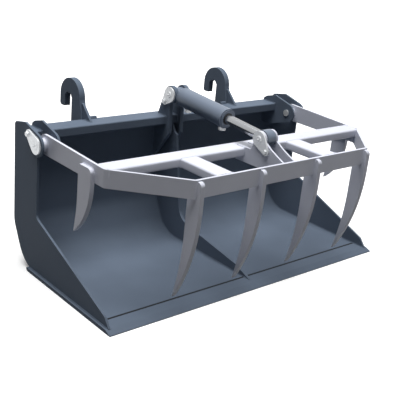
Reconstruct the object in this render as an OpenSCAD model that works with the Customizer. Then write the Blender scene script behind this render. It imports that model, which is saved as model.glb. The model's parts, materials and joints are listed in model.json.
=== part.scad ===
// Grapple bucket for a front loader: a welded bucket with hooks for a quick hitch,
// and a hinged grapple frame with six tines, moved by one hydraulic cylinder.
// Units are millimetres. X runs across, the mouth faces -Y, Z is up.
// Outlines are drawn from the rear face of the back plate, y = 0, and the ground, z = 0.
// Each piece is then set in the part's frame, whose origin is on the ground in the middle.

/* [Bucket] */
// width over the two side plates
bucket_w = 1600; // [1200:10:2400]
// distance from the rear face to the cutting edge
bucket_d = 806; // [600:2:1100]
// floor and back sheet
sheet_t = 8; // [5:1:12]
// side plate thickness
side_t = 10; // [6:1:16]
// thickness of the bevelled cutting edge
edge_t = 16; // [10:1:30]
// front to back width of the cutting edge
edge_w = 99; // [60:1:200]
// how far the cutting edge and the runners stand out past the side plates
runner_out = 12; // [0:1:30]
// height where the back leaves the vertical
back_bend_z = 190; // [120:5:300]
// inside radius where the back rolls into the floor
heel_r = 160; // [80:5:250]

/* [Top beam] */
// height of the beam's top face
beam_top = 628; // [450:1:800]
// front to back size of the beam
beam_d = 100; // [60:5:160]
// height of the beam
beam_h = 42; // [30:1:100]
// wall of the beam
beam_wall = 6; // [3:1:10]

/* [Grapple pivot] */
// distance of the pivot from the rear face
pivot_y = 189; // [120:1:300]
// height of the pivot
pivot_z = 596; // [400:1:700]
// pivot pin
pivot_pin_d = 35; // [20:1:50]
// radius of the lobe around the pivot
lobe_r = 50; // [40:1:70]
// gap between a side plate and its inner ear
ear_gap = 68; // [50:1:120]

/* [Hitch hooks] */
// spacing of the two hook plates, centre to centre
hook_pitch = 900; // [600:5:1200]
// hook plate thickness
hook_t = 30; // [15:1:40]
// height of the hook's round head above its centre
hook_r = 85; // [60:1:110]
// width of the hook's mouth
hook_mouth = 60; // [36:1:70]
// drop from the hook's seat to the lower eye
hook_drop = 590; // [450:5:650]
// bore of the lower eye
eye_bore = 35; // [20:1:50]

/* [Grapple frame] */
// top of the frame members
frame_top = 626; // [500:1:700]
// height of the arms and of the front bar
arm_h = 76; // [50:1:120]
// arm and front bar thickness
arm_t = 12; // [8:1:20]
// width over the arms
arm_span = 1520; // [1100:10:2300]
// distance of the front bar's face from the rear face of the bucket
front_y = 890; // [700:5:1200]
// half the straight length of the front bar
front_half = 518; // [300:1:900]
// section of the cross tube and braces, wide
tube_w = 90; // [50:5:120]
// section of the cross tube and braces, high
tube_h = 40; // [30:5:80]
// wall of the tubes
tube_wall = 5; // [3:1:8]
// distance of the cross tube's front face
cross_y = 650; // [500:5:750]
// position of the left brace
brace_left_x = -356; // [-450:1:-200]
// position of the right brace
brace_right_x = 266; // [200:1:450]

/* [Tines] */
// spacing of the front tines
tine_pitch = 333; // [200:1:450]
// tine thickness
tine_t = 20; // [12:1:30]
// how far a tine's nose stands out of the front bar
tine_nose = 22; // [10:1:40]
// height of a tine's tip above the ground
tine_tip_z = 94; // [20:1:200]
// sweep radius of a tine's front
tine_front_r = 860; // [400:10:1500]
// sweep radius of a tine's back
tine_back_r = 1150; // [500:10:2000]

/* [Cylinder] */
// distance of the base pin from the rear face
base_y = 116; // [60:1:160]
// height of the base pin
base_z = 738; // [650:1:800]
// distance of the rod pin
rod_y = 732; // [600:1:800]
// height of the rod pin
rod_z = 688; // [600:1:800]
// cylinder tube, outside
tube_od = 92; // [60:1:110]
// cylinder bore
tube_id = 76; // [45:1:95]
// piston rod
rod_d = 44; // [25:1:56]
// pins at both ends of the cylinder
link_pin_d = 30; // [20:1:40]
// bore of the rod eye, wide enough for the opened link
rod_eye_bore = 47; // [30:0.5:60]

/* [Fits] */
// radial clearance of a running fit
fit = 0.05; // [0.01:0.01:0.1]

/* [Hidden] */
half_w = bucket_w / 2;
edge_back = bucket_d - edge_w;
beam_low = beam_top - beam_h;
ear_x = half_w - side_t - ear_gap;
ear_t = side_t;
arm_x = arm_span / 2;
frame_low = frame_top - arm_h;
tube_low = frame_top - tube_h;
bar_back = front_y - arm_t;
pivot = [-pivot_y, pivot_z];
base_pin_at = [-base_y, base_z];
rod_pin_at = [-rod_y, rod_z];
link_len = norm(rod_pin_at - base_pin_at);
link_tilt = atan2(base_z - rod_z, rod_y - base_y);
cheek_in = 25;
cheek_t = 20;
clevis_in = 28;
clevis_t = 9;
clevis_rear = 597;
hook_front_top = 20;
hook_mid_y = 105;
hook_mid_z = 712;
seat_y = 119;
seat_z = 699;
hub_d = 56;
bush_d = 45;
flag_t = 8;
bolt_d = 12;
arc_step = 9;
clear_cut = 1;

bucket_paint = [0.30, 0.33, 0.38];
frame_paint = [0.62, 0.62, 0.65];
zinc = [0.80, 0.80, 0.76];
chrome = [0.85, 0.86, 0.88];
bronze = [0.70, 0.55, 0.30];
seal_rubber = [0.10, 0.10, 0.10];

// middle of the footprint, between the hooks and the noses of the tines
middle_y = (front_y + tine_nose - hook_mid_y - hook_r) / 2;

// paints one piece and sets it in the part's frame
module piece(paint) color(paint) translate([0, middle_y, 0]) children();

// Outline helpers: every outline lies in the YZ plane

function unit(v) = v / norm(v);
function turn(a, b) = (atan2(b[1], b[0]) - atan2(a[1], a[0]) + 540) % 360 - 180;

// one rounded corner of an outline: a is the point before, c the point after
function corner(a, p, c) =
  let (
    b = [p[0], p[1]],
    u = unit([a[0], a[1]] - b),
    v = unit([c[0], c[1]] - b),
    half = acos(u * v) / 2,
    mid = b + unit(u + v) * p[2] / sin(half),
    first = b + u * p[2] / tan(half) - mid,
    last = b + v * p[2] / tan(half) - mid,
    sweep = turn(first, last),
    from = atan2(first[1], first[0]),
    n = max(2, ceil(abs(sweep) / arc_step))
  )
  p[2] <= 0 ? [b] : [for (i = [0:n]) mid + p[2] * [cos(from + sweep * i / n), sin(from + sweep * i / n)]];

// closed outline from corners [y, z, radius]
function outline(c) =
  let (n = len(c)) [for (i = [0:n - 1]) each corner(c[(i + n - 1) % n], c[i], c[(i + 1) % n])];

// open line from corners, its two ends kept
function bent(c) =
  let (n = len(c)) [
    [c[0][0], c[0][1]],
    for (i = [1:n - 2]) each corner(c[i - 1], c[i], c[i + 1]),
    [c[n - 1][0], c[n - 1][1]]
  ];

// normal of a line at point i, scaled so that an offset keeps its thickness
function side_of(p, i) =
  let (
    n = len(p),
    a = unit(p[min(i + 1, n - 1)] - p[min(i, n - 2)]),
    b = unit(p[max(i, 1)] - p[max(i - 1, 0)]),
    m = unit(a + b)
  )
  [-m[1], m[0]] / max(0.2, m * a);

// point at distance d beside the line
function beside(p, d) = [for (i = [0:len(p) - 1]) p[i] + side_of(p, i) * d];

// points of an arc about a centre, from angle a to angle b
function arc(at, r, a, b) =
  let (n = ceil(abs(b - a) / arc_step), step = (b - a) / n)
  [for (i = [0:n]) at + r * [cos(a + step * i), sin(a + step * i)]];

// angle at which a line from point p touches a circle, s picks the side
function touch(at, r, p, s) =
  atan2(p[1] - at[1], p[0] - at[0]) + s * acos(r / norm([p[0], p[1]] - at));

function back_up(p) = [for (i = [len(p) - 1:-1:0]) p[i]];

// strip between the line and its offset
function strip(p, d) = concat(p, back_up(beside(p, d)));

// a plate of thickness t whose face is at x, drawn from YZ outlines
module plate(x, t) translate([x, 0, 0]) rotate([90, 0, 90]) linear_extrude(t) children();

// a shaft or bore along X
module along_x(x, t, d, at, n = 48) {
  translate([x, at[0], at[1]]) rotate([0, 90, 0]) cylinder(h = t, d = d, $fn = n);
}

module disc(at, r, n = 40) translate(at) circle(r = r, $fn = n);

// Bucket

// outer line of the back and floor, from the beam down and forward
back_lean = 0.556;
heel_y = (back_bend_z - sheet_t) * back_lean;
shell_line = bent([
  [0, beam_low], [0, back_bend_z, 110], [-heel_y, sheet_t, heel_r], [-edge_back, sheet_t]
]);

module back_and_floor() {
  piece(bucket_paint) plate(-half_w + side_t, bucket_w - 2 * side_t)
    polygon(strip(shell_line, -sheet_t));
}

// side plate: rear column with the pivot lobe, and the long sloping front edge
side_front = 196;
side_slope_z = 272;
ear_top = [-92, 672, 0];
module side_outline() {
  polygon(concat(
    [for (p = shell_line) if (p[1] > edge_t + 3 && p[1] < 560) p],
    outline([
      [-150, edge_t, 0], [-778, edge_t, 0], [-745, 57, 20], [-side_front, side_slope_z, 25],
      [-side_front, 540, 0]
    ]),
    back_up(arc(pivot, lobe_r, touch(pivot, lobe_r, ear_top, 1), 262)),
    outline([ear_top, [-8, 655, 6], [0, 645, 0]])
  ));
}

module side_plate(x) {
  piece(bucket_paint) difference() {
    plate(x, side_t) side_outline();
    along_x(x - clear_cut, side_t + 2 * clear_cut, pivot_pin_d, pivot);
  }
}

module cutting_edge() {
  nose = 4;
  bevel = 34;
  groove = 2;
  piece(bucket_paint) plate(-half_w - runner_out, bucket_w + 2 * runner_out)
    polygon([
      [-edge_back, 0], [-edge_back, edge_t - groove], [-edge_back - groove, edge_t],
      [-bucket_d + bevel, edge_t], [-bucket_d, nose], [-bucket_d, 0]
    ]);
}

runner_w = runner_out + side_t;
runner_rear = 140;
module runner(x) {
  piece(bucket_paint) translate([x, 0, 0]) difference() {
    translate([0, -edge_back, 0]) cube([runner_w, edge_back - runner_rear, edge_t]);
    translate([-clear_cut, -runner_rear, -12]) rotate([45, 0, 0])
      cube([runner_w + 2 * clear_cut, 14, 14]);
  }
}

skid_w = 80;
module skid(x) {
  piece(bucket_paint) plate(x - skid_w / 2, skid_w)
    polygon([[-edge_back, 0], [-edge_back, sheet_t], [-210, sheet_t], [-218, 0]]);
}

module top_beam() {
  piece(bucket_paint) difference() {
    plate(-half_w + side_t, bucket_w - 2 * side_t)
      polygon(outline([
        [0, beam_low, 6], [0, beam_top, 6], [-beam_d, beam_top, 6], [-beam_d, beam_low, 6]
      ]));
    plate(-half_w, bucket_w)
      polygon([
        [-beam_wall, beam_low + beam_wall], [-beam_wall, beam_top - beam_wall],
        [-beam_d + beam_wall, beam_top - beam_wall], [-beam_d + beam_wall, beam_low + beam_wall]
      ]);
  }
}

module beam_section() {
  polygon([[1, beam_low], [1, beam_top], [-beam_d, beam_top], [-beam_d, beam_low]]);
}

// inner ear: shares the side plate's head, and wraps the beam
module inner_ear(x) {
  piece(bucket_paint) difference() {
    plate(x, ear_t) difference() {
      polygon(concat(
        back_up(arc(pivot, lobe_r, touch(pivot, lobe_r, ear_top, 1), 255)),
        outline([ear_top, [-30, 655, 6], [-sheet_t, 640, 0], [-sheet_t, 506, 0], [-70, 506, 0]])
      ));
      beam_section();
    }
    along_x(x - clear_cut, ear_t + 2 * clear_cut, pivot_pin_d, pivot);
  }
}

// centre rib: deep behind the cylinder, running out on the cutting edge
module centre_rib() {
  rib_t = 12;
  top = beam_low;
  inner = beside(shell_line, -sheet_t);
  piece(bucket_paint) plate(-rib_t / 2, rib_t)
    polygon(concat(
      [for (p = inner) if (p[1] <= top) p],
      [[-743, edge_t]],
      outline([
        [-743, edge_t + 2, 0], [-640, 56, 60], [-216, 124, 90], [-140, 540, 0]
      ]),
      [[-beam_d - 20, beam_low - 34], [-beam_d + 2, top]]
    ));
}

// cheeks that carry the cylinder's base pin
cheek_r = 42;
module cheek(x) {
  piece(bucket_paint) difference() {
    plate(x, cheek_t) difference() {
      polygon(concat(
        arc(base_pin_at, cheek_r, touch(base_pin_at, cheek_r, [-30, beam_top], 1), 260),
        outline([
          [-118, 690, 0], [-124, 545, 16], [-30, 420, 10], [-sheet_t, 408, 0],
          [-sheet_t, beam_top, 0], [-30, beam_top, 0]
        ])
      ));
      beam_section();
    }
    along_x(x - clear_cut, cheek_t + 2 * clear_cut, link_pin_d, base_pin_at);
  }
}

// Hitch hooks

// head with its mouth opening down, a straight shank, and the lower eye
eye_at = [60, seat_z - hook_drop];
module hook_outline() {
  difference() {
    union() {
      intersection() {
        disc([hook_mid_y, hook_mid_z], hook_r, 64);
        translate([hook_front_top, hook_mid_z - 2]) square([2 * hook_r, 2 * hook_r]);
      }
      polygon([
        [hook_front_top, hook_mid_z], [0, beam_top], [0, 60], [60, 60],
        [seat_y - hook_mouth / 2 + 4, 180], [seat_y - hook_mouth / 2, 600],
        [seat_y - hook_mouth / 2, hook_mid_z]
      ]);
      polygon(outline([
        [seat_y + hook_mouth / 2, hook_mid_z, 0], [seat_y + hook_mouth / 2, 655, 4],
        [hook_mid_y + hook_r, 655, 14], [hook_mid_y + hook_r, hook_mid_z, 0]
      ]));
      polygon([[0, back_bend_z], [-90, 70], [-20, 62], [60, 62], [60, back_bend_z]]);
      disc(eye_at, 44);
    }
    polygon(concat(shell_line, [[-edge_back, 900], [0, 900]]));
    disc([seat_y, seat_z], hook_mouth / 2, 40);
    translate([seat_y - hook_mouth / 2, 600]) square([hook_mouth, seat_z - 600]);
  }
}

module hook_plate(x) {
  piece(bucket_paint) difference() {
    plate(x - hook_t / 2, hook_t) hook_outline();
    along_x(x - hook_t, 2 * hook_t, eye_bore, eye_at);
  }
}

module hook_gusset(x) {
  gusset_t = 12;
  rise = 70;
  lean = hook_front_top * rise / (hook_mid_z - beam_top);
  piece(bucket_paint) plate(x - gusset_t / 2, gusset_t)
    polygon([[-64, beam_top], [0, beam_top], [lean, beam_top + rise], [lean - 8, beam_top + rise]]);
}

module hook_pad(x) {
  piece(bucket_paint) plate(x - 17, 34)
    polygon([[-16, beam_top], [-1, beam_top], [-1, beam_top + 11], [-12, beam_top + 11]]);
}

module hook_eye(x) {
  ring_t = 10;
  piece(bucket_paint) difference() {
    along_x(x, ring_t, 72, eye_at);
    along_x(x - clear_cut, ring_t + 2 * clear_cut, eye_bore, eye_at);
  }
}

// Pins with their lock flags

// s is the side that the flag is on: -1 left, 1 right
module flag_pin(s, face, length, d, at, big_r, small_at, small_r) {
  near = s < 0 ? face - flag_t : face;
  piece(zinc) difference() {
    union() {
      plate(near, flag_t) hull() {
        disc(at, big_r);
        disc(small_at, small_r, 32);
      }
      along_x(s < 0 ? face : face - length, length, d, at);
    }
    along_x(near - clear_cut, flag_t + 2 * clear_cut, bolt_d, small_at, 32);
  }
}

// hex bolt with a washer, its shank in the plate behind the flag
module flag_bolt(s, face, at) {
  washer_t = 2.5;
  head_t = 8;
  shank = flag_t;
  outer = s < 0 ? face - flag_t - washer_t : face + flag_t;
  piece(zinc) {
    along_x(outer, washer_t, 24, at, 32);
    translate([s < 0 ? outer - head_t : outer + washer_t, at[0], at[1]])
      rotate([0, 90, 0]) cylinder(h = head_t, d = 21.9, $fn = 6);
    along_x(s < 0 ? face - shank : face, shank, bolt_d - 0.2, at, 32);
  }
}

pivot_flag_at = [-131, 632];
base_flag_at = [-84, 700];
rod_flag_at = [-778, 645];

module pivot_pin(s) {
  flag_pin(s, s * half_w, side_t + ear_gap + ear_t + 6, pivot_pin_d, pivot, 38, pivot_flag_at, 19);
}

module base_pin() {
  reach = 2 * (cheek_in + cheek_t) + 6;
  flag_pin(-1, -cheek_in - cheek_t, reach, link_pin_d, base_pin_at, 37, base_flag_at, 17);
}

module rod_pin() {
  reach = 2 * (clevis_in + clevis_t) + 6;
  flag_pin(-1, -clevis_in - clevis_t, reach, link_pin_d, rod_pin_at, 36, rod_flag_at, 17);
}

// Grapple frame

module arm(x) {
  piece(frame_paint) difference() {
    plate(x, arm_t) hull() {
      disc(pivot, 44, 48);
      polygon([[-600, frame_low], [-600, frame_top], [-590, frame_top], [-590, frame_low]]);
    }
    along_x(x - clear_cut, arm_t + 2 * clear_cut, hub_d, pivot);
  }
}

module hub(s) {
  inside = s < 0 ? -half_w + side_t + 1 : ear_x + 1;
  piece(frame_paint) difference() {
    along_x(inside, ear_gap - 2, hub_d, pivot);
    along_x(inside - clear_cut, ear_gap, bush_d, pivot);
  }
}

module bush(s) {
  inside = s < 0 ? -half_w + side_t + 1 : ear_x + 1;
  piece(bronze) difference() {
    along_x(inside, ear_gap - 2, bush_d, pivot);
    along_x(inside - clear_cut, ear_gap, pivot_pin_d + 2 * fit, pivot);
  }
}

// front bar: one flat, bent at four places, lying in plan
corner_y = 636;
bar_line = bent([
  [-arm_x, -600], [-arm_x, -corner_y, 30], [-front_half, -front_y, 18],
  [front_half, -front_y, 18], [arm_x, -corner_y, 30], [arm_x, -600]
]);
module front_bar() {
  piece(frame_paint) translate([0, 0, frame_low]) linear_extrude(arm_h)
    polygon(strip(bar_line, arm_t));
}

// a flat-laid hollow section, its hollow running along X or Y
module box_tube(size, along) {
  w = tube_wall;
  hole = along == "x" ? [size[0] + 2, size[1] - 2 * w, size[2] - 2 * w]
                      : [size[0] - 2 * w, size[1] + 2, size[2] - 2 * w];
  difference() {
    cube(size, center = true);
    cube(hole, center = true);
  }
}

// cross tube: its front corners are cut to the bends of the bar, and its front is slotted
// for the two clevis plates
module cross_tube() {
  span = arm_span - 2 * arm_t;
  piece(frame_paint) difference() {
    intersection() {
      translate([0, -cross_y + tube_w / 2, frame_top - tube_h / 2])
        box_tube([span, tube_w, tube_h], "x");
      translate([0, 0, frame_low]) linear_extrude(2 * arm_h)
        polygon(concat([[-span / 2, -500]], beside(bar_line, arm_t), [[span / 2, -500]]));
    }
    for (x = [-clevis_in - clevis_t, clevis_in])
      translate([x, -cross_y - clear_cut, tube_low - clear_cut])
        cube([clevis_t, cross_y + clear_cut - clevis_rear, tube_h + 2 * clear_cut]);
  }
}

module brace(x) {
  reach = bar_back - cross_y;
  piece(frame_paint) translate([x, -cross_y - reach / 2, frame_top - tube_h / 2])
    box_tube([tube_w, reach, tube_h], "y");
}

// one side of a sickle blade: an arc that starts upright at z0 and sweeps back to the tip
function sweep_y(z, z0, r) = z > z0 ? 0 : r - sqrt(r * r - (z0 - z) * (z0 - z));
function blade(y0, z0, r, top, tip, n) =
  [for (i = [0:n]) let (z = top + (tip - top) * i / n) [y0 + sweep_y(z, z0, r), z]];

// front tine: slotted from above so that it hooks up around the front bar, its nose rounded
tine_back = -838;
module tine(i) {
  front = -front_y - tine_nose;
  nose = outline([
    [-front_y, frame_low, 0], [-front_y, frame_top - 6, 0], [front, frame_top - 8, 19], [front, 560, 0]
  ]);
  behind = [[tine_back, 575], [22 - bar_back, 604], [-bar_back, 604], [-bar_back, frame_low]];
  piece(frame_paint) plate((i - 1.5) * tine_pitch - tine_t / 2, tine_t)
    polygon(concat(
      nose,
      blade(front, 520, tine_front_r, 520, tine_tip_z, 14),
      back_up(blade(tine_back, 400, tine_back_r, 400, tine_tip_z + 3, 10)),
      behind
    ));
}

// short tine lapped on an arm's outer face
module side_tine(x) {
  piece(frame_paint) plate(x, tine_t)
    polygon(concat(
      outline([[-484, 470, 0], [-484, 608, 10], [-572, 608, 20], [-572, 540, 0]]),
      blade(-572, 540, 300, 530, 312, 10),
      back_up(blade(-484, 480, 716, 460, 318, 8))
    ));
}

// clevis plate: a lobe for the rod pin, swept down to the front bar and let into the cross tube
clevis_r = 36;
clevis_low = 562;
clevis_rise = 630;
module clevis(x) {
  piece(frame_paint) difference() {
    plate(x, clevis_t)
      polygon(concat(
        outline([
          [-bar_back, frame_top, 0], [-bar_back, clevis_low, 0], [-clevis_rear, clevis_low, 0],
          [-clevis_rear, clevis_rise, 3], [-684, clevis_rise, 5], [-696, 664, 0]
        ]),
        arc(rod_pin_at, clevis_r, 0, 190),
        outline([[-790, 668, 0], [-806, 658, 60], [-840, 642, 0]])
      ));
    along_x(x - clear_cut, clevis_t + 2 * clear_cut, link_pin_d, rod_pin_at);
  }
}

// Cylinder: built along -Y from the base pin, then tilted into place

rod_eye_d = 76;
rod_eye_w = 48;
rod_eye_seat = 30;
tube_start = 52;
tube_end = 366;
eye_w = 2 * cheek_in - 2;
module on_link() {
  translate([0, -base_y, base_z]) rotate([link_tilt, 0, 0]) children();
}

// round stock along the cylinder's axis, from a to b
module bar(a, b, d, n = 64) {
  translate([0, -a, 0]) rotate([90, 0, 0]) cylinder(h = b - a, d = d, $fn = n);
}

module cylinder_tube() {
  piece(bucket_paint) on_link() difference() {
    bar(tube_start, tube_end - 14, tube_od);
    bar(tube_start - clear_cut, tube_end, tube_id);
  }
}

module cylinder_base() {
  piece(bucket_paint) on_link() difference() {
    union() {
      bar(tube_start, tube_start + 16, tube_id);
      bar(cheek_r + 2, tube_start, tube_od - 4);
      translate([-eye_w / 2, 0, 0]) rotate([0, 90, 0]) cylinder(h = eye_w, d = 64, $fn = 48);
      translate([-eye_w / 2, -50, -24]) cube([eye_w, 50, 48]);
    }
    translate([-eye_w, 0, 0]) rotate([0, 90, 0])
      cylinder(h = 2 * eye_w, d = link_pin_d + 2 * fit, $fn = 48);
  }
}

module gland() {
  piece(bucket_paint) on_link() difference() {
    union() {
      bar(tube_end - 44, tube_end - 14, tube_id);
      bar(tube_end - 14, tube_end - 2, tube_od);
      bar(tube_end - 2, tube_end + 2, tube_od - 12);
    }
    bar(tube_end - 60, tube_end - 4, rod_d + 2 * fit);
    bar(tube_end - 4, tube_end + 6, rod_d + 10);
  }
}

module wiper() {
  piece(seal_rubber) on_link() difference() {
    bar(tube_end - 4, tube_end + 4, rod_d + 10);
    bar(tube_end - 8, tube_end + 8, rod_d + 2 * fit);
  }
}

port_bore = 17;
module port(at) {
  boss_d = 34;
  boss_h = 14;
  piece(zinc) on_link() difference() {
    translate([0, -at, -tube_od / 2 - boss_h]) cylinder(h = boss_h + 6, d = boss_d, $fn = 32);
    translate([0, -at, -tube_od / 2 - boss_h - 1]) cylinder(h = boss_h - 1, d = port_bore, $fn = 32);
    bar(at - 30, at + 30, tube_od);
  }
}

piston_at = 236;
piston_l = 36;
module piston() {
  piece(chrome) on_link() difference() {
    bar(piston_at - piston_l / 2, piston_at + piston_l / 2, tube_id - 2 * fit);
    bar(piston_at - piston_l, piston_at + piston_l, rod_d - 8);
  }
}

module rod() {
  piece(chrome) on_link() {
    bar(piston_at + piston_l / 2, link_len - rod_eye_seat, rod_d);
    bar(piston_at - piston_l / 2, piston_at + piston_l / 2, rod_d - 8);
  }
}

// rod eye: the rod's end sits in a shallow seat and is welded round
module rod_eye() {
  w = rod_eye_w;
  piece(bucket_paint) on_link() difference() {
    translate([-w / 2, -link_len, 0]) rotate([0, 90, 0]) cylinder(h = w, d = rod_eye_d, $fn = 56);
    translate([-w, -link_len, 0]) rotate([0, 90, 0]) cylinder(h = 2 * w, d = rod_eye_bore, $fn = 56);
    bar(link_len - rod_eye_d, link_len - rod_eye_seat, rod_d);
  }
}

// Assembly

back_and_floor();
side_plate(-half_w);  // side_plate_left
side_plate(half_w - side_t);  // side_plate_right
cutting_edge();
runner(-half_w - runner_out);  // runner_left
runner(half_w + runner_out - runner_w);  // runner_right
skid(-450);  // skid_left
skid(0);  // skid_centre
skid(450);  // skid_right
top_beam();
inner_ear(-ear_x);  // inner_ear_left
inner_ear(ear_x - ear_t);  // inner_ear_right
centre_rib();
cheek(-cheek_in - cheek_t);  // cylinder_cheek_left
cheek(cheek_in);  // cylinder_cheek_right
hook_plate(-hook_pitch / 2);  // hook_plate_left
hook_plate(hook_pitch / 2);  // hook_plate_right
hook_gusset(-hook_pitch / 2);  // hook_gusset_left
hook_gusset(hook_pitch / 2);  // hook_gusset_right
hook_pad(-hook_pitch / 2 + 43);  // hook_pad_left
hook_pad(hook_pitch / 2 - 43);  // hook_pad_right
hook_eye(-hook_pitch / 2 - hook_t / 2 - 10);  // hook_eye_left
hook_eye(hook_pitch / 2 + hook_t / 2);  // hook_eye_right
pivot_pin(-1);  // pivot_pin_left
pivot_pin(1);  // pivot_pin_right
flag_bolt(-1, -half_w, pivot_flag_at);  // pivot_bolt_left
flag_bolt(1, half_w, pivot_flag_at);  // pivot_bolt_right
base_pin();
flag_bolt(-1, -cheek_in - cheek_t, base_flag_at);  // base_pin_bolt
arm(-arm_x);  // arm_left
arm(arm_x - arm_t);  // arm_right
hub(-1);  // hub_left
hub(1);  // hub_right
bush(-1);  // bush_left
bush(1);  // bush_right
front_bar();
cross_tube();
brace(brace_left_x);  // brace_left
brace(brace_right_x);  // brace_right
tine(0);  // tine_1
tine(1);  // tine_2
tine(2);  // tine_3
tine(3);  // tine_4
side_tine(-arm_x - tine_t);  // side_tine_left
side_tine(arm_x);  // side_tine_right
clevis(-clevis_in - clevis_t);  // clevis_left
clevis(clevis_in);  // clevis_right
rod_pin();
flag_bolt(-1, -clevis_in - clevis_t, rod_flag_at);  // rod_pin_bolt
cylinder_tube();
cylinder_base();
gland();
wiper();
port(92);  // port_rear
port(340);  // port_front
piston();
rod();
rod_eye();
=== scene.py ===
# %% [markdown]
# # A grapple bucket for a front loader
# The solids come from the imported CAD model. This lesson dresses them: paint on the welded steel,
# bright plating on the pins, hard chrome on the cylinder's rod, and the weld beads and bolts
# that hold the plates together.

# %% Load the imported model
import json
import math

import bmesh
import bpy
from mathutils import Matrix, Vector


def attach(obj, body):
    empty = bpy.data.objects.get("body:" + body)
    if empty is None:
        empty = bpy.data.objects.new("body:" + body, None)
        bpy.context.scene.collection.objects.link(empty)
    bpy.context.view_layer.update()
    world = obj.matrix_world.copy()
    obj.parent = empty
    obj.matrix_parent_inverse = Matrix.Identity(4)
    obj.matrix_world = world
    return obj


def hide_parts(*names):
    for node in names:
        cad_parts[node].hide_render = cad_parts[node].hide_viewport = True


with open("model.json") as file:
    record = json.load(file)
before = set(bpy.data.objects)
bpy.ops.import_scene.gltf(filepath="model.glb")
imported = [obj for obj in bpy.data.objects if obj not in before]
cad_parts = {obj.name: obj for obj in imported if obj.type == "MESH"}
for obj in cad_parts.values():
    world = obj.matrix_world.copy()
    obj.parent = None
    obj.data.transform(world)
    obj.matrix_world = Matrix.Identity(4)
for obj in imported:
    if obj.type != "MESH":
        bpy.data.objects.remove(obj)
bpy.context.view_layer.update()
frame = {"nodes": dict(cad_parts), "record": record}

MM = 0.001
nodes = frame["nodes"]

# %% [markdown]
# The camera comes first, because everything else is judged through it. The picture was taken from
# the front left, a little above the bucket, with a short telephoto lens and a slight roll. Its
# three angles are turned into the three directions that a camera's matrix holds.

# %% Camera
PICTURE_PX = 400
FOCAL_PX = 765.29
SENSOR_MM = 36.0
FARTHEST_M = 100.0
CAMERA_AT = Vector((-2.32576, -2.55044, 1.56966))
CAMERA_YAW = math.radians(42.2484)
CAMERA_PITCH = math.radians(20.5838)
CAMERA_ROLL = math.radians(5.6867)

ahead = Vector((math.sin(CAMERA_YAW) * math.cos(CAMERA_PITCH),
                math.cos(CAMERA_YAW) * math.cos(CAMERA_PITCH),
                -math.sin(CAMERA_PITCH)))
level = Vector((math.cos(CAMERA_YAW), -math.sin(CAMERA_YAW), 0.0))
upright = level.cross(ahead)
across = level * math.cos(CAMERA_ROLL) + upright * math.sin(CAMERA_ROLL)
up = upright * math.cos(CAMERA_ROLL) - level * math.sin(CAMERA_ROLL)

lens = bpy.data.cameras.new("camera")
lens.sensor_width = SENSOR_MM
lens.lens = FOCAL_PX / PICTURE_PX * SENSOR_MM
lens.clip_end = FARTHEST_M
camera = bpy.data.objects.new("camera", lens)
camera.matrix_world = Matrix((
    (across.x, up.x, -ahead.x, CAMERA_AT.x),
    (across.y, up.y, -ahead.y, CAMERA_AT.y),
    (across.z, up.z, -ahead.z, CAMERA_AT.z),
    (0.0, 0.0, 0.0, 1.0)))
bpy.context.scene.collection.objects.link(camera)
bpy.context.scene.camera = camera
print("lens:", round(lens.lens, 1), "mm")

# %% [markdown]
# Every finish is a small tree of nodes. One function turns a written colour into the linear value
# that the shader wants, and one adds a node with its settings and its links. Two more open a
# material and close it with its shader, so that each finish below is only its own recipe.

# %% Helpers for the finishes
def paint_chip(code):
    """An sRGB colour written as six hex digits, as linear red, green, blue and alpha."""
    def linear(part):
        value = int(part, 16) / 255
        return value / 12.92 if value <= 0.04045 else ((value + 0.055) / 1.055) ** 2.4
    return (linear(code[0:2]), linear(code[2:4]), linear(code[4:6]), 1.0)


def add(tree, kind, links=None, **settings):
    """Adds one node. settings are its own fields; links gives its sockets a value or a link."""
    node = tree.nodes.new("ShaderNode" + kind)
    for field, value in settings.items():
        setattr(node, field, value)
    for socket, value in (links or {}).items():
        if isinstance(value, bpy.types.NodeSocket):
            tree.links.new(value, node.inputs[socket])
        else:
            node.inputs[socket].default_value = value
    return node


def open_finish(name):
    """An empty material, its tree, and its object coordinates in metres."""
    finish = bpy.data.materials.new(name)
    finish.use_nodes = True
    tree = finish.node_tree
    tree.nodes.clear()
    return finish, tree, add(tree, "TexCoord").outputs["Object"]


def close_finish(finish, tree, looks):
    """Adds the shader with its values and links, and joins it to the material's output."""
    shader = add(tree, "BsdfPrincipled", looks)
    add(tree, "OutputMaterial", {"Surface": shader.outputs["BSDF"]})
    print("finish:", finish.name, "-", len(tree.nodes), "nodes")
    return finish

# %% [markdown]
# The bucket and the frame are mild steel with a sprayed enamel, baked on. Up close enamel has a
# faint orange peel, drawn 4 mm wide here so that it shows, and clouds of tone about 250 mm wide.
# The paint is thinner along cut edges, and the edges are painted paler too, as a painted highlight.
# A Bevel node rounds each edge by the radius that paint leaves, which keeps the solids as they are,
# and the difference between the rounded and the true normal marks the edges. To the eye this is a
# soft sheen with a painted highlight along the rims.

# %% Sprayed enamel
BEVEL_SAMPLES = 6
PAINT_EDGE_MM, CLOUD_MM, PEEL_MM = 2.0, 250.0, 4.0
# a noise texture seldom leaves this range
NOISE_LOW, NOISE_HIGH = 0.3, 0.7
CLOUD_DARK, CLOUD_LIGHT, GLOSS_SPREAD = 0.94, 1.05, 0.05
# how alike the two normals are on a flat face and on a rounded edge, and how far the edge is
# painted paler as a highlight
ON_FLAT, ON_EDGE, EDGE_HIGHLIGHT = 0.995, 0.90, 0.55
PEEL_STRENGTH, PEEL_DEPTH_MM = 0.06, 1.0


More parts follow.
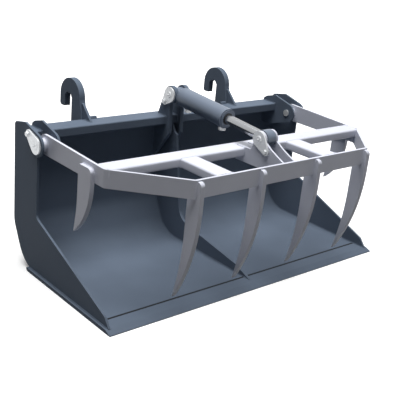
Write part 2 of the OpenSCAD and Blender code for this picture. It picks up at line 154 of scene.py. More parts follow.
def enamel(name, colour, edge_highlight_colour, roughness, shine):
    """A painted finish with a painted highlight along its edges; shine is how strongly its skin
    mirrors.
    """
    finish, tree, place = open_finish(name)
    rounded = add(tree, "Bevel", {"Radius": PAINT_EDGE_MM * MM},
                  samples=BEVEL_SAMPLES).outputs["Normal"]
    true = add(tree, "NewGeometry").outputs["Normal"]
    alike = add(tree, "VectorMath", {0: rounded, 1: true},
                operation="DOT_PRODUCT").outputs["Value"]
    edge = add(tree, "MapRange", {"Value": alike, "From Min": ON_FLAT, "From Max": ON_EDGE,
                                  "To Min": 0.0, "To Max": EDGE_HIGHLIGHT}).outputs["Result"]
    cloud = add(tree, "TexNoise", {"Vector": place, "Scale": 1.0 / (CLOUD_MM * MM),
                                   "Detail": 3.0}).outputs["Fac"]
    uneven = add(tree, "MapRange", {
        "Value": cloud, "From Min": NOISE_LOW, "From Max": NOISE_HIGH,
        "To Min": CLOUD_DARK, "To Max": CLOUD_LIGHT}).outputs["Result"]
    body = add(tree, "MixRGB", {"Fac": 1.0, "Color1": paint_chip(colour), "Color2": uneven},
               blend_type="MULTIPLY").outputs["Color"]
    # the edges are painted paler: a painted highlight along every rim
    edges_highlighted = add(tree, "MixRGB", {"Fac": edge, "Color1": body, "Color2": paint_chip(edge_highlight_colour)})
    gloss = add(tree, "MapRange", {
        "Value": cloud, "From Min": NOISE_LOW, "From Max": NOISE_HIGH,
        "To Min": roughness - GLOSS_SPREAD, "To Max": roughness + GLOSS_SPREAD})
    peel = add(tree, "TexNoise", {"Vector": place, "Scale": 1.0 / (PEEL_MM * MM),
                                  "Detail": 2.0}).outputs["Fac"]
    bump = add(tree, "Bump", {"Strength": PEEL_STRENGTH, "Distance": PEEL_DEPTH_MM * MM,
                              "Height": peel, "Normal": rounded})
    return close_finish(finish, tree, {
        "Base Color": edges_highlighted.outputs["Color"], "Roughness": gloss.outputs["Result"],
        "Specular IOR Level": shine, "Normal": bump.outputs["Normal"]})


# each second colour is the paler one painted along the edges as a highlight
slate_enamel = enamel("slate_enamel", "616c7b", "8a95a2", 0.5, 0.03)
silver_enamel = enamel("silver_grey_enamel", "d0d3df", "dcdfe8", 0.45, 0.2)
cylinder_enamel = enamel("cylinder_enamel", "6c7787", "8490a0", 0.36, 0.4)

# %% [markdown]
# Pins, flags, bolts and ports are zinc plated. The plating is a pale metal, dulled by handling, and
# mottled in spangles about 6 mm wide, so cells of a Voronoi pattern vary its tone a little. To the
# eye it is the brightest thing on the bucket, with no clear reflections.

# %% Zinc plate
SPANGLE_MM, SPANGLE_DARK, PLATED_EDGE_MM = 6.0, 0.86, 1.0


def zinc_plate():
    finish, tree, place = open_finish("zinc_plate")
    spangle = add(tree, "TexVoronoi", {"Vector": place, "Scale": 1.0 / (SPANGLE_MM * MM)})
    tone = add(tree, "MapRange", {"Value": spangle.outputs["Distance"],
                                  "To Min": SPANGLE_DARK, "To Max": 1.0}).outputs["Result"]
    colour = add(tree, "MixRGB", {"Fac": 1.0, "Color1": paint_chip("c4c6c8"), "Color2": tone},
                 blend_type="MULTIPLY")
    rounded = add(tree, "Bevel", {"Radius": PLATED_EDGE_MM * MM}, samples=BEVEL_SAMPLES)
    return close_finish(finish, tree, {
        "Base Color": colour.outputs["Color"], "Metallic": 1.0, "Roughness": 0.6,
        "Normal": rounded.outputs["Normal"]})


zinc = zinc_plate()

# %% [markdown]
# The rod is hard chrome, ground and bright. The bushes are bronze, the wiper is black rubber, and
# there is painted shade in an open joint. These show only a little, so one small function serves
# them all: a colour with a grain in it. The real grain is finer than the 1.2 mm drawn here, which
# is as fine as shows. To the eye the rod is a bright streak, and the rubber and the painted shade
# are nearly black.

# %% Hard chrome, bronze, rubber and painted shade
GRAIN_MM, GRAIN_DARK, GRAIN_LIGHT = 1.2, 0.93, 1.04


def grained(name, colour, metallic, roughness):
    finish, tree, place = open_finish(name)
    grain = add(tree, "TexNoise", {"Vector": place, "Scale": 1.0 / (GRAIN_MM * MM),
                                   "Detail": 2.0}).outputs["Fac"]
    tone = add(tree, "MapRange", {"Value": grain, "To Min": GRAIN_DARK, "To Max": GRAIN_LIGHT})
    mixed = add(tree, "MixRGB", {"Fac": 1.0, "Color1": paint_chip(colour),
                                 "Color2": tone.outputs["Result"]}, blend_type="MULTIPLY")
    return close_finish(finish, tree, {"Base Color": mixed.outputs["Color"],
                                       "Metallic": metallic, "Roughness": roughness})


hard_chrome = grained("hard_chrome", "a9abae", 1.0, 0.22)
bearing_bronze = grained("bearing_bronze", "b8925a", 1.0, 0.4)
nitrile_rubber = grained("nitrile_rubber", "1c1c1d", 0.0, 0.6)
# near-black painted shade for the open groove at the cutting edge
painted_groove_shade = grained("painted_groove_shade", "12161c", 0.0, 0.95)

# %% [markdown]
# The record names a material slot for each node, and each slot gets one finish. The cylinder comes
# from another maker than the bucket, in a glossier coat of nearly the same colour.

# %% Give each node its finish
FINISH_OF_SLOT = {
    "bucket_paint": slate_enamel,
    "frame_paint": silver_enamel,
    "zinc": zinc,
    "chrome": hard_chrome,
    "bronze": bearing_bronze,
    "seal_rubber": nitrile_rubber,
}
for entry in frame["record"]["subparts"]:
    for holder in nodes[entry["node"]].material_slots:
        holder.material = FINISH_OF_SLOT[entry["material_slot"]]
for name in ("cylinder_tube", "cylinder_base", "gland", "rod_eye"):
    nodes[name].material_slots[0].material = cylinder_enamel
print("slots with a finish:", len(FINISH_OF_SLOT))

# %% [markdown]
# The CAD source draws its outlines in millimetres from the rear face of the back plate, and the
# places below are the same ones. One function moves such a point into the part's frame, and another
# does it for the cylinder, which is drawn along its own axis and then tilted.

# %% Places on the part
MIDDLE_Y = 361.0
HALF_WIDTH = 800.0
PIVOT = (-189.0, 596.0)
BASE_PIN = (-116.0, 738.0)
ROD_PIN = (-732.0, 688.0)
LINK_LENGTH = math.dist(BASE_PIN, ROD_PIN)
LINK_TILT = math.atan2(BASE_PIN[1] - ROD_PIN[1], BASE_PIN[0] - ROD_PIN[0])
LINK_AXIS = Vector((0.0, -math.cos(LINK_TILT), -math.sin(LINK_TILT)))
LINK_UP = Vector((0.0, -math.sin(LINK_TILT), math.cos(LINK_TILT)))
SIDEWAYS = Vector((1.0, 0.0, 0.0))
FORWARD = Vector((0.0, -1.0, 0.0))
UPWARD = Vector((0.0, 0.0, 1.0))


def spot(x, y, z):
    """A point of the drawing in millimetres, as a point of the scene in metres."""
    return Vector((x, y + MIDDLE_Y, z)) * MM


def link_spot(x, along, rise):
    """A point on the cylinder: how far along its axis from the base pin, and how far above it."""
    return spot(x, *BASE_PIN) + (LINK_AXIS * along + LINK_UP * rise) * MM


print("cylinder from pin to pin:", round(LINK_LENGTH), "mm, tilted",
      round(math.degrees(LINK_TILT), 1))

# %% [markdown]
# A weld bead is a ridge of melted steel along a seam. It is a grid rolled into a thin tube here:
# one side of the grid runs along the seam and the other runs round it, which follows any path
# and needs no curve object. A small swell every few millimetres gives the ripples that the torch
# leaves, and the two ends taper away. Half of each bead is inside the steel, as in a real fillet.

# %% One weld bead
BEAD_STEP = 2.0 * MM
FEWEST_STEPS = 6
BEAD_SIDES = 8
# a ripple every 3.2 steps is one every 6.4 mm
RIPPLE_STEPS, RIPPLE_SWELL = 3.2, 0.13
# the ends taper over four steps, and the last point keeps a fifth of a step's share
TAPER_STEPS, TIP_STEPS = 4, 0.2
# a path is a ring where its two ends lie this close
CLOSED = 0.01 * MM


def even_points(path):
    """Points every bead step along a line of points."""
    lengths = [(b - a).length for a, b in zip(path, path[1:])]
    count = max(FEWEST_STEPS, round(sum(lengths) / BEAD_STEP))
    points, passed, i = [], 0.0, 0
    for k in range(count + 1):
        wanted = sum(lengths) * k / count
        while i < len(lengths) - 1 and wanted > passed + lengths[i]:
            passed += lengths[i]
            i += 1
        points.append(path[i].lerp(path[i + 1], min(1.0, (wanted - passed) / lengths[i])))
    return points


def lay_bead(shape, path, across, radius_mm):
    """One bead along a path; across is a direction at right angles to the whole path."""
    points = even_points(path)
    last = len(points) - 1
    is_ring = (path[0] - path[-1]).length < CLOSED
    grid = bmesh.ops.create_grid(shape, x_segments=last, y_segments=BEAD_SIDES, size=1.0)
    for vert in grid["verts"]:
        k = round((vert.co.x + 1.0) / 2.0 * last)
        turn = (vert.co.y + 1.0) * math.pi
        before, after = points[max(k - 1, 0)], points[min(k + 1, last)]
        if is_ring and k in (0, last):
            before, after = points[last - 1], points[1]
        out = across.cross((after - before).normalized())
        swell = 1.0 + RIPPLE_SWELL * math.cos(k / RIPPLE_STEPS * 2.0 * math.pi)
        if not is_ring:
            swell *= min(1.0, (min(k, last - k) + TIP_STEPS) / TAPER_STEPS)
        reach = radius_mm * MM * swell
        vert.co = points[k] + (across * math.cos(turn) + out * math.sin(turn)) * reach

# %% [markdown]
# Every shape below becomes a piece in the same way. Its doubled points are closed, its faces are
# turned outwards, it is shaded smooth, and it rides on the body that carries it. Where a piece has
# crisp edges, a second function keeps these sharp by their angle.

# %% From a shape to a piece
DOUBLES = 0.005 * MM


def new_piece(name, shape, finish, body):
    """Closes the shape's doubled points, and makes it a smooth piece of the part."""
    bmesh.ops.remove_doubles(shape, verts=shape.verts, dist=DOUBLES)
    bmesh.ops.recalc_face_normals(shape, faces=shape.faces)
    for face in shape.faces:
        face.smooth = True
    mesh = bpy.data.meshes.new(name)
    shape.to_mesh(mesh)
    shape.free()
    mesh.materials.append(finish)
    piece = bpy.data.objects.new(name, mesh)
    bpy.context.scene.collection.objects.link(piece)
    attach(piece, body)
    print(name, "-", len(mesh.polygons), "faces")
    return piece


def sharpen(piece, degrees):
    """Keeps the edges crisp where two faces meet at more than an angle."""
    piece.data.set_sharp_from_angle(angle=math.radians(degrees))

# %% [markdown]
# The back and the floor of the bucket are one sheet, rolled round the heel. Its line runs from the
# beam down the back, round the heel and along the floor. It is a row of corners with radii, as in
# the CAD source, and its inner face lies one sheet's thickness beside it.

# %% The line of the rolled sheet
SHEET_T = 8.0
SHEET_CORNERS = [(0.0, 586.0, 0.0), (0.0, 190.0, 110.0), (-101.2, 8.0, 160.0), (-707.0, 8.0, 0.0)]
ARC_STEPS = 16


def rounded_line(corners):
    """Points along a line in a plane. A corner is its two places and the radius of its arc."""
    line = [Vector(corners[0][:2])]
    for before, here, after in zip(corners, corners[1:], corners[2:]):
        tip, radius = Vector(here[:2]), here[2]
        back = (Vector(before[:2]) - tip).normalized()
        on = (Vector(after[:2]) - tip).normalized()
        half = back.angle(on) / 2.0
        middle = tip + (back + on).normalized() * radius / math.sin(half)
        start = tip + back * radius / math.tan(half) - middle
        end = tip + on * radius / math.tan(half) - middle
        first = math.atan2(start.y, start.x)
        sweep = (math.atan2(end.y, end.x) - first + 3.0 * math.pi) % (2.0 * math.pi) - math.pi
        for k in range(ARC_STEPS + 1):
            turn = first + sweep * k / ARC_STEPS
            line.append(middle + radius * Vector((math.cos(turn), math.sin(turn))))
    return line + [Vector(corners[-1][:2])]


def beside(line, distance):
    """The same line, moved sideways by a distance."""
    moved = []
    for k, point in enumerate(line):
        ahead = (line[min(k + 1, len(line) - 1)] - line[max(k - 1, 0)]).normalized()
        moved.append(point + Vector((ahead.y, -ahead.x)) * distance)
    return moved


sheet_outside = rounded_line(SHEET_CORNERS)
sheet_inside = beside(sheet_outside, SHEET_T)
print("sheet from beam to cutting edge:", len(sheet_inside), "points")

# %% [markdown]
# Rolled steel shows no facets, so the sheet is made once more from that line. A flat sheet could be
# bent by a modifier, but a grid laid on the line keeps its real radii. One direction of the grid
# follows the line and the other goes round the sheet's four edges. The two open ends are filled,
# and the shading is smooth along the roll and crisp at the edges.

# %% Rolled sheet
SIDE_PLATE_T = 10.0
SHEET_HALF = HALF_WIDTH - SIDE_PLATE_T
SHEET_EDGES = 4
CRISP_DEGREES = 40.0

shape = bmesh.new()
last = len(sheet_outside) - 1
grid = bmesh.ops.create_grid(shape, x_segments=last, y_segments=SHEET_EDGES, size=1.0)
for vert in grid["verts"]:
    k = round((vert.co.x + 1.0) / 2.0 * last)
    corner = round((vert.co.y + 1.0) / 2.0 * SHEET_EDGES) % SHEET_EDGES
    line = sheet_outside if corner in (0, 1) else sheet_inside
    vert.co = spot(SHEET_HALF if corner in (1, 2) else -SHEET_HALF, *line[k])
bmesh.ops.remove_doubles(shape, verts=shape.verts, dist=DOUBLES)
bmesh.ops.holes_fill(shape, edges=shape.edges, sides=0)
sheet = new_piece("rolled_sheet", shape, slate_enamel, "bucket")
sharpen(sheet, CRISP_DEGREES)
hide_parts("back_and_floor")

# %% [markdown]
# Many seams are joined into one piece, because they are one material on one body. Each seam is a
# path, a direction across it and a radius. A path is drawn in the plane of a plate, or as a ring
# round an eye or a tube.

# %% Seams
RING_STEPS = 60
full_turn = [2.0 * math.pi * k / RING_STEPS for k in range(RING_STEPS + 1)]


def plate_path(x, line):
    """A path in the plane of a plate at x, from points (y, z)."""
    return [spot(x, y, z) for y, z in line]


def ring(middle, radius_mm, across):
    """A closed circle of points about an axis, with its radius in millimetres."""
    first = across.orthogonal().normalized()
    second = across.cross(first)
    return [middle + (first * math.cos(turn) + second * math.sin(turn)) * radius_mm * MM
            for turn in full_turn]


def weld(name, seams, finish, body):
    """One piece of many seams."""
    shape = bmesh.new()
    for path, across, radius_mm in seams:
        lay_bead(shape, path, across, radius_mm)
    return new_piece(name, shape, finish, body)


print("points round a ring:", len(full_turn))

# %% [markdown]
# The beads of the bucket run where its plates meet the sheet, the beam and the floor, so first come
# the plates' places, as in the CAD source. FACES are the two sides of a plate, and the other values
# are places along the bucket and above the ground. The paths that several plates share are drawn
# once, each named for where it runs.

# %% Seams of the bucket
BEAM_TOP, BEAM_LOW, BEAM_FRONT, BEAM_REAR = 628.0, 586.0, -100.0, -12.0
FLOOR_TOP, FLOOR_UNDER = 16.0, 8.0
BEVEL_Y, SIDE_REAR_Y = -772.0, -144.0
RIB_FACE, RIB_FRONT = 6.0, -738.0
EAR_FACES, EAR_LOW = (712.0, 722.0), 508.0
CHEEK_FACES, CHEEK_LOW, CHEEK_REAR = (25.0, 45.0), 412.0, -34.0
PAD_FACES, PAD_FRONT, PAD_REAR = (444.0, 456.0), -60.0, -3.0
HOOK_FACES, HOOK_LOW = (435.0, 465.0), 92.0
LOWER_EYE, LOWER_EYE_R = (60.0, 109.0), 36.0

around_beam = [(BEAM_REAR, BEAM_TOP), (BEAM_FRONT, BEAM_TOP), (BEAM_FRONT, BEAM_LOW),
               (-SHEET_T, BEAM_LOW)]
along_floor = sheet_inside + [(BEVEL_Y, FLOOR_TOP)]
along_rib = sheet_inside + [(RIB_FRONT, FLOOR_TOP)]
beside_floor = [(SIDE_REAR_Y, FLOOR_TOP), (BEVEL_Y, FLOOR_TOP)]
down_the_ear = around_beam + [(-SHEET_T, EAR_LOW)]
down_the_cheek = around_beam[1:] + [(-SHEET_T, CHEEK_LOW)]
over_the_beam = [(CHEEK_REAR, BEAM_TOP), (BEAM_FRONT, BEAM_TOP)]
along_the_pad = [(PAD_FRONT, BEAM_TOP), (PAD_REAR, BEAM_TOP)]
down_the_back = [(0.0, BEAM_TOP)] + [tuple(p) for p in sheet_outside if p.y > HOOK_LOW]
print("seam down the back:", len(down_the_back), "points")

# %% [markdown]
# Now the beads. Each side of the bucket has the same plates, so one table of paths serves both. The
# hooks carry the whole load and have the thickest bead. The beam, the lower eyes of the hooks and
# the three skids under the floor come last.

# %% Welds of the bucket
BEAD, THIN_BEAD, SKID_BEAD = 3.2, 2.6, 2.4
HOOK_BEAD = BEAD + 0.6
BEAM_SEAM_HALF = 786.0
SKID_MIDDLES, SKID_HALF, SKID_REAR, SKID_FRONT = (-450.0, 0.0, 450.0), 40.0, -214.0, -704.0

seams = []
for side in (-1, 1):
    paths = [(SHEET_HALF, along_floor, BEAD), (SHEET_HALF, sheet_outside, THIN_BEAD),
             (HALF_WIDTH, beside_floor, BEAD), (RIB_FACE, along_rib, BEAD),
             (SHEET_HALF, around_beam, BEAD)]
    paths += [(x, down_the_ear, BEAD) for x in EAR_FACES]
    for x in CHEEK_FACES:
        paths += [(x, down_the_cheek, BEAD), (x, over_the_beam, BEAD)]
    paths += [(x, along_the_pad, BEAD) for x in PAD_FACES]
    paths += [(x, down_the_back, HOOK_BEAD) for x in HOOK_FACES]
    seams += [(plate_path(side * x, line), SIDEWAYS, radius) for x, line, radius in paths]
    lower_eye = ring(spot(side * HOOK_FACES[1], *LOWER_EYE), LOWER_EYE_R, SIDEWAYS)
    seams.append((lower_eye, SIDEWAYS, THIN_BEAD))
for y, radius in ((-SHEET_T, BEAD), (0.0, THIN_BEAD)):
    under_beam = [spot(-BEAM_SEAM_HALF, y, BEAM_LOW), spot(BEAM_SEAM_HALF, y, BEAM_LOW)]
    seams.append((under_beam, UPWARD, radius))
for middle in SKID_MIDDLES:
    for x in (middle - SKID_HALF, middle + SKID_HALF):
        along_skid = [(SKID_REAR, FLOOR_UNDER), (SKID_FRONT, FLOOR_UNDER)]
        seams.append((plate_path(x, along_skid), SIDEWAYS, SKID_BEAD))
weld("bucket_welds", seams, slate_enamel, "bucket")

# %% [markdown]
# The cutting edge is welded from below, so on top its joint with the floor stays open, a narrow
# groove in shade. It shows as a thin dark line across the bucket, and two low near-black beads
# side by side in it, painted shade, give it its width.

# %% Joint of the cutting edge
JOINT_ROWS, JOINT_Z, JOINT_R, JOINT_HALF = (-705.8, -710.6), 14.2, 3.5, 789.0
rows = [[spot(-JOINT_HALF, y, JOINT_Z), spot(JOINT_HALF, y, JOINT_Z)] for y in JOINT_ROWS]
seams = [(row, UPWARD, JOINT_R) for row in rows]
# two near-black beads in the groove: painted shade
weld("edge_joint_painted_shade", seams, painted_groove_shade, "bucket")

# %% [markdown]
# The grapple frame is welded from flats and box tube. There are beads round the hubs, where the
# cross tube meets the arms, round the root of each short tine, beside the clevis plates, and round
# both ends of the two braces.

# %% Welds of the frame
ARM_FACES = ARM_INNER, ARM_OUTER = 748.0, 760.0
FRAME_TOP, TUBE_LOW, TUBE_FRONT, TUBE_BACK = 626.0, 586.0, -650.0, -560.0
TUBE_CORNER = 9.0
BAR_FRONT, BAR_BACK = -890.0, -878.0
HUB_R = 28.0
CLEVIS_FACES, CLEVIS_REAR = (28.0, 37.0), -600.0
BRACE_MIDDLES, BRACE_HALF, BRACE_BEAD = (-356.0, 266.0), 45.0, 2.4

tube_end = [(TUBE_BACK, FRAME_TOP), (TUBE_BACK, TUBE_LOW), (-626.0, TUBE_LOW)]
short_tine_root = [(-484.0, 556.0), (-484.0, 600.0), (-492.0, 608.0), (-556.0, 608.0),
                   (-572.0, 590.0), (-572.0, 554.0)]
behind_bar = [(BAR_BACK, 565.0), (BAR_BACK, 622.0)]
over_tube = [(TUBE_FRONT, 589.0), (TUBE_FRONT, FRAME_TOP), (CLEVIS_REAR, FRAME_TOP)]

seams = []
for side in (-1, 1):
    for x in ARM_FACES:
        seams.append((ring(spot(side * x, *PIVOT), HUB_R, SIDEWAYS), SIDEWAYS, BEAD))
    paths = [(ARM_INNER, tube_end, BEAD), (ARM_OUTER, short_tine_root, THIN_BEAD)]
    for x in CLEVIS_FACES:
        paths += [(x, behind_bar, BEAD), (x, over_tube, BEAD)]
    seams += [(plate_path(side * x, line), SIDEWAYS, radius) for x, line, radius in paths]
for middle in BRACE_MIDDLES:
    left, right = middle - BRACE_HALF, middle + BRACE_HALF
    around_brace = [(middle, FRAME_TOP, 0), (right, FRAME_TOP, TUBE_CORNER),
                    (right, TUBE_LOW, TUBE_CORNER), (left, TUBE_LOW, TUBE_CORNER),
                    (left, FRAME_TOP, TUBE_CORNER), (middle, FRAME_TOP, 0)]
    for y in (TUBE_FRONT, BAR_BACK):
        path = [spot(x, y, z) for x, z in rounded_line(around_brace)]
        seams.append((path, FORWARD, BRACE_BEAD))
weld("frame_welds", seams, silver_enamel, "grapple")

# %% [markdown]
# Each long tine hooks over the bar, and is welded down both its sides in front of the bar and
# behind it. A loop sets the four tines at their even pitch.

# %% Welds of the long tines
TINE_COUNT, TINE_PITCH, TINE_HALF, TINE_BEAD = 4, 333.0, 10.0, 2.8
TINE_SEAMS = ((BAR_FRONT, 616.0), (BAR_BACK, 602.0))
TINE_SEAM_LOW = 553.0

seams = []
for number in range(TINE_COUNT):
    middle = (number - (TINE_COUNT - 1) / 2.0) * TINE_PITCH
    for x in (middle - TINE_HALF, middle + TINE_HALF):
        for y, top in TINE_SEAMS:
            seams.append((plate_path(x, [(y, TINE_SEAM_LOW), (y, top)]), SIDEWAYS, TINE_BEAD))
weld("tine_welds", seams, silver_enamel, "grapple")

# %% [markdown]
# Box tube has rolled corners, which the solids leave square. A solid comes as loose triangles, so
# its edges can't be bevelled well, and the cross tube and the two braces are made anew. A cube
# loses its two ends, its four long edges are bevelled, a smaller one makes the inside, and the
# rims are bridged. Each brace runs a little into the cross tube, where it is welded.

# %% Box tubes with rolled corners
TUBE_WALL = 5.0
CORNER_STEPS = 6
INTO_TUBE = 9.0


def tube_skin(shape, size_mm, corner_mm, along):
    """An open box with four rounded long edges; along is the number of its long axis."""
    scaling = Matrix.Diagonal(Vector(size_mm) * MM).to_4x4()
    made = bmesh.ops.create_cube(shape, size=1.0, matrix=scaling)
    corners = set(made["verts"])
    ends = [face for face in shape.faces
            if face.verts[0] in corners and abs(face.normal[along]) > 0.5]
    long_edges = [edge for edge in shape.edges if edge.verts[0] in corners
                  and abs((edge.verts[0].co - edge.verts[1].co).normalized()[along]) > 0.5]
    bmesh.ops.delete(shape, geom=ends, context="FACES_ONLY")
    bmesh.ops.bevel(shape, geom=long_edges, offset=corner_mm * MM, segments=CORNER_STEPS,
                    profile=0.5, affect="EDGES", material=-1)


def box_tube(name, node, low, high, along):
    """A tube between two corners of its box, in place of the node's plain solid."""
    shape = bmesh.new()
    size = Vector(high) - Vector(low)
    walls = Vector([0.0 if axis == along else 2.0 * TUBE_WALL for axis in range(3)])
    tube_skin(shape, size, TUBE_CORNER, along)
    tube_skin(shape, size - walls, TUBE_CORNER - TUBE_WALL, along)
    for end in (-1, 1):
        rim = [edge for edge in shape.edges if edge.is_boundary
               and all(vert.co[along] * end > 0.0 for vert in edge.verts)]
        bmesh.ops.bridge_loops(shape, edges=rim)
    middle = spot(*((Vector(low) + Vector(high)) / 2.0))
    bmesh.ops.translate(shape, verts=shape.verts, vec=middle)
    piece = new_piece(name, shape, silver_enamel, "grapple")
    sharpen(piece, CRISP_DEGREES)
    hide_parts(node)


box_tube("cross_tube_rolled", "cross_tube", (-ARM_INNER, TUBE_FRONT, TUBE_LOW),
         (ARM_INNER, TUBE_BACK, FRAME_TOP), 0)
for name, middle in zip(("brace_left", "brace_right"), BRACE_MIDDLES):
    box_tube(name + "_rolled", name, (middle - BRACE_HALF, BAR_BACK, TUBE_LOW),
             (middle + BRACE_HALF, TUBE_FRONT + INTO_TUBE, FRAME_TOP), 1)

# %% [markdown]
# The cylinder has a ring of weld at the base cap, one round each port's boss, which rides up and
# down on the round tube, and one where the rod enters its eye. A saddle like the last two is a
# circle whose points are set down on the round thing below it.

# %% Welds of the cylinder
TUBE_R, ROD_R, BOSS_R, EYE_R = 46.0, 22.0, 17.0, 38.0
CAP_SEAM, CAP_SEAM_R, CAP_BEAD = 52.0, 44.5, 3.0
PORT_PLACES, PORT_BEAD, EYE_BEAD = (92.0, 340.0), 2.4, 2.8


def drop(radius, sideways):
    """How far a round thing's surface lies from its axis, at a distance from its middle line."""
    return math.sqrt(radius ** 2 - sideways ** 2)


seams = [(ring(link_spot(0.0, CAP_SEAM, 0.0), CAP_SEAM_R, LINK_AXIS), LINK_AXIS, CAP_BEAD)]
for along in PORT_PLACES:
    saddle = [link_spot(BOSS_R * math.cos(turn), along + BOSS_R * math.sin(turn),
                        -drop(TUBE_R, BOSS_R * math.cos(turn))) for turn in full_turn]
    seams.append((saddle, LINK_UP, PORT_BEAD))
weld("barrel_welds", seams, cylinder_enamel, "barrel")

saddle = [link_spot(ROD_R * math.cos(turn), LINK_LENGTH - drop(EYE_R, ROD_R * math.sin(turn)),
                    ROD_R * math.sin(turn)) for turn in full_turn]
weld("rod_eye_weld", [(saddle, LINK_AXIS, EYE_BEAD)], cylinder_enamel, "rod")

# %% [markdown]
# Round things with a profile are a grid again, rolled about the pin's axis. A level of the profile
# is a height and a radius. The head of a bolt has six flats and a cone that trims its corners, so
# there both the height and the radius depend on the angle, which a plain spin couldn't give.

# %% Turned forms and hex heads
TRIM_SHARE, TRIM_DEGREES = 0.93, 30.0


def turned(shape, levels, sides, side, middle):
    """Rolls a profile about a sideways axis, outwards to the left (-1) or to the right (1)."""
    last = len(levels) - 1
    grid = bmesh.ops.create_grid(shape, x_segments=sides, y_segments=last, size=1.0)
    for vert in grid["verts"]:
        turn = (vert.co.x + 1.0) * math.pi
        height, radius = levels[round((vert.co.y + 1.0) / 2.0 * last)]
        height = height(turn) if callable(height) else height
        radius = radius(turn) if callable(radius) else radius
        offset = Vector((side * height, radius * math.cos(turn), radius * math.sin(turn)))
        vert.co = middle + offset * MM
    bmesh.ops.remove_doubles(shape, verts=grid["verts"], dist=DOUBLES)
    bmesh.ops.holes_fill(shape, edges=shape.edges, sides=0)


def hex_head(across_flats, low, high):
    """Levels of a hex head: upright flats, then the cone that trims the six corners."""
    flat = across_flats / 2.0
    top_r = flat * TRIM_SHARE

    def hexagon(turn):
        sixth = math.pi / 3.0
        return flat / math.cos((turn + sixth / 2.0) % sixth - sixth / 2.0)

    def trimmed(turn):
        return high - (hexagon(turn) - top_r) * math.tan(math.radians(TRIM_DEGREES))

    return [(low, hexagon), (trimmed, hexagon), (high, top_r)]

# %% [markdown]
# Each pin is kept in place by a flag, a small plate welded to the pin's end, and a bolt holds the
# flag. The bolts are M12 with a washer. The pin stands a little proud of its flag, with a ring of
# weld round it and a grease nipple in its middle.

# %% Flag bolts and pin ends
FLAG_T = 8.0
HEAD_FLATS, HEAD_T = 19.0, 8.0
WASHER_T, WASHER_R, WASHER_EDGE = 2.5, 12.0, 0.4
WASHER = [(0.0, WASHER_R), (WASHER_T - WASHER_EDGE, WASHER_R), (WASHER_T, WASHER_R - WASHER_EDGE)]
NIPPLE = [(3.0, 4.4), (5.5, 4.4), (6.0, 3.0), (8.0, 2.0), (9.2, 3.1), (10.2, 3.0), (11.0, 1.6)]
PIN_BEAD = 1.8
BOLT_SIDES, PIN_SIDES, NIPPLE_SIDES = 72, 64, 24
TURNED_CRISP_DEGREES = 25.0


def flag_bolt(node, body, side, face_x, middle):
    """Washer and hex head on the outer face of a lock flag."""
    shape = bmesh.new()
    levels = WASHER + hex_head(HEAD_FLATS, WASHER_T, WASHER_T + HEAD_T)
    turned(shape, levels, BOLT_SIDES, side, spot(side * (face_x + FLAG_T), *middle))
    piece = new_piece(node + "_head", shape, zinc, body)
    sharpen(piece, TURNED_CRISP_DEGREES)
    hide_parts(node)


def pin_end(name, body, side, face_x, middle, pin_r):
    """The pin's end, proud of its flag, with its ring of weld and a grease nipple."""
    shape = bmesh.new()
    at = spot(side * (face_x + FLAG_T), *middle)
    end = [(-1.0, pin_r), (2.0, pin_r), (3.5, pin_r - 1.5), (3.5, 5.5), (3.0, 4.6)]
    turned(shape, end, PIN_SIDES, side, at)
    turned(shape, NIPPLE, NIPPLE_SIDES, side, at)
    lay_bead(shape, ring(at, pin_r, SIDEWAYS), SIDEWAYS, PIN_BEAD)
    sharpen(new_piece(name, shape, zinc, body), TURNED_CRISP_DEGREES)


PIVOT_FLAG, BASE_FLAG, ROD_FLAG = (-131.0, 632.0), (-84.0, 700.0), (-778.0, 645.0)
CHEEK_OUTER, CLEVIS_OUTER = CHEEK_FACES[1], CLEVIS_FACES[1]
PIVOT_PIN_R, LINK_PIN_R = 17.5, 15.0
flag_bolt("pivot_bolt_left", "bucket", -1, HALF_WIDTH, PIVOT_FLAG)
flag_bolt("pivot_bolt_right", "bucket", 1, HALF_WIDTH, PIVOT_FLAG)
flag_bolt("base_pin_bolt", "bucket", -1, CHEEK_OUTER, BASE_FLAG)
flag_bolt("rod_pin_bolt", "grapple", -1, CLEVIS_OUTER, ROD_FLAG)
pin_end("pivot_pin_end_left", "bucket", -1, HALF_WIDTH, PIVOT, PIVOT_PIN_R)
pin_end("pivot_pin_end_right", "bucket", 1, HALF_WIDTH, PIVOT, PIVOT_PIN_R)
pin_end("base_pin_end", "bucket", -1, CHEEK_OUTER, BASE_PIN, LINK_PIN_R)
pin_end("rod_pin_end", "grapple", -1, CLEVIS_OUTER, ROD_PIN, LINK_PIN_R)

# %% [markdown]
# The bucket stands on a white studio floor. Rays that look at the floor or the world, straight or
# by way of metal or glass, see them white. The light that they throw on the part is much weaker,
# so the painted colours stay as they are written. A faint glow keeps the floor white further away,
# and the part's soft shadow stays near it.

# %% Floor
FLOOR_WHITE, FLOOR_BOUNCE = "f6f6f6", "585858"
FLOOR_HALF_M = 20.0
GLOW_NEAR_M, GLOW_FAR_M, GLOW_LEAST = 1.0, 5.0, 0.25
PURE_WHITE = (1.0, 1.0, 1.0, 1.0)


def seen_directly(tree):
    """1 for rays that look at a surface, in a mirror or through glass too, and 0 for its light."""
    rays = add(tree, "LightPath").outputs
    mirrored = add(tree, "Math", {0: rays["Is Camera Ray"], 1: rays["Is Glossy Ray"]},
                   operation="MAXIMUM").outputs["Value"]
    return add(tree, "Math", {0: mirrored, 1: rays["Is Transmission Ray"]},
               operation="MAXIMUM").outputs["Value"]


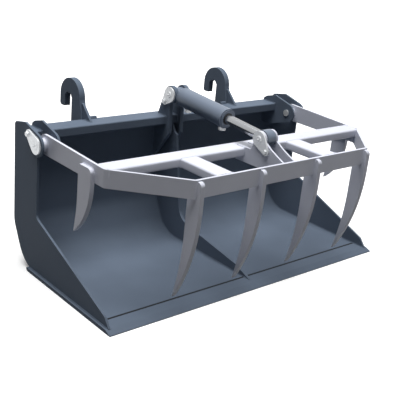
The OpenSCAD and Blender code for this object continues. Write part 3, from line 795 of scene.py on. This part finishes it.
def studio_floor():
    finish, tree, place = open_finish("studio_floor")
    seen = seen_directly(tree)
    tone = add(tree, "MixRGB", {"Fac": seen, "Color1": paint_chip(FLOOR_BOUNCE),
                                "Color2": paint_chip(FLOOR_WHITE)})
    away = add(tree, "VectorMath", {0: place}, operation="LENGTH").outputs["Value"]
    far = add(tree, "MapRange", {"Value": away, "From Min": GLOW_NEAR_M, "From Max": GLOW_FAR_M,
                                 "To Min": GLOW_LEAST, "To Max": 1.0}).outputs["Result"]
    glow = add(tree, "Math", {0: far, 1: seen}, operation="MULTIPLY").outputs["Value"]
    return close_finish(finish, tree, {
        "Base Color": tone.outputs["Color"], "Roughness": 0.9, "Specular IOR Level": 0.0,
        "Emission Color": PURE_WHITE, "Emission Strength": glow})


shape = bmesh.new()
bmesh.ops.create_grid(shape, x_segments=1, y_segments=1, size=FLOOR_HALF_M)
mesh = bpy.data.meshes.new("floor")
shape.to_mesh(mesh)
shape.free()
mesh.materials.append(studio_floor())
floor = bpy.data.objects.new("floor", mesh)
bpy.context.scene.collection.objects.link(floor)

# %% [markdown]
# The world round it is the same white to a ray that looks at it. As light it only fills the
# deepest shade a little.

# %% World
AMBIENT = 0.05
world = bpy.data.worlds.new("studio")
bpy.context.scene.world = world
world.use_nodes = True
studio = world.node_tree
studio.nodes.clear()
strength = add(studio, "Math", {0: seen_directly(studio), 1: AMBIENT}, operation="MAXIMUM")
sky = add(studio, "Background", {"Color": PURE_WHITE, "Strength": strength.outputs["Value"]})
add(studio, "OutputWorld", {"Surface": sky.outputs["Background"]})
print("world:", len(studio.nodes), "nodes, as light", AMBIENT)

# %% [markdown]
# One large round lamp, high above and a little to the front left, gives soft light on every top
# face and leaves the upright faces in a middle tone.

# %% Lamp
LAMP_AT, LAMP_AIM = Vector((-0.4, -0.1, 9.0)), Vector((0.0, 0.0, 0.3))
LAMP_WIDTH_M, LAMP_WATTS = 8.5, 1330.0
lamp = bpy.data.lights.new("overhead_box", "AREA")
lamp.shape = "DISK"
lamp.size = LAMP_WIDTH_M
lamp.energy = LAMP_WATTS
overhead = bpy.data.objects.new("overhead_box", lamp)
overhead.location = LAMP_AT
overhead.rotation_mode = "QUATERNION"
overhead.rotation_quaternion = (LAMP_AIM - LAMP_AT).to_track_quat("-Z", "Y")
bpy.context.scene.collection.objects.link(overhead)
print("lamp:", LAMP_WATTS, "W,", round((LAMP_AIM - LAMP_AT).length, 1), "m away")

# %% Finish
bpy.context.scene.view_settings.view_transform = "Standard"
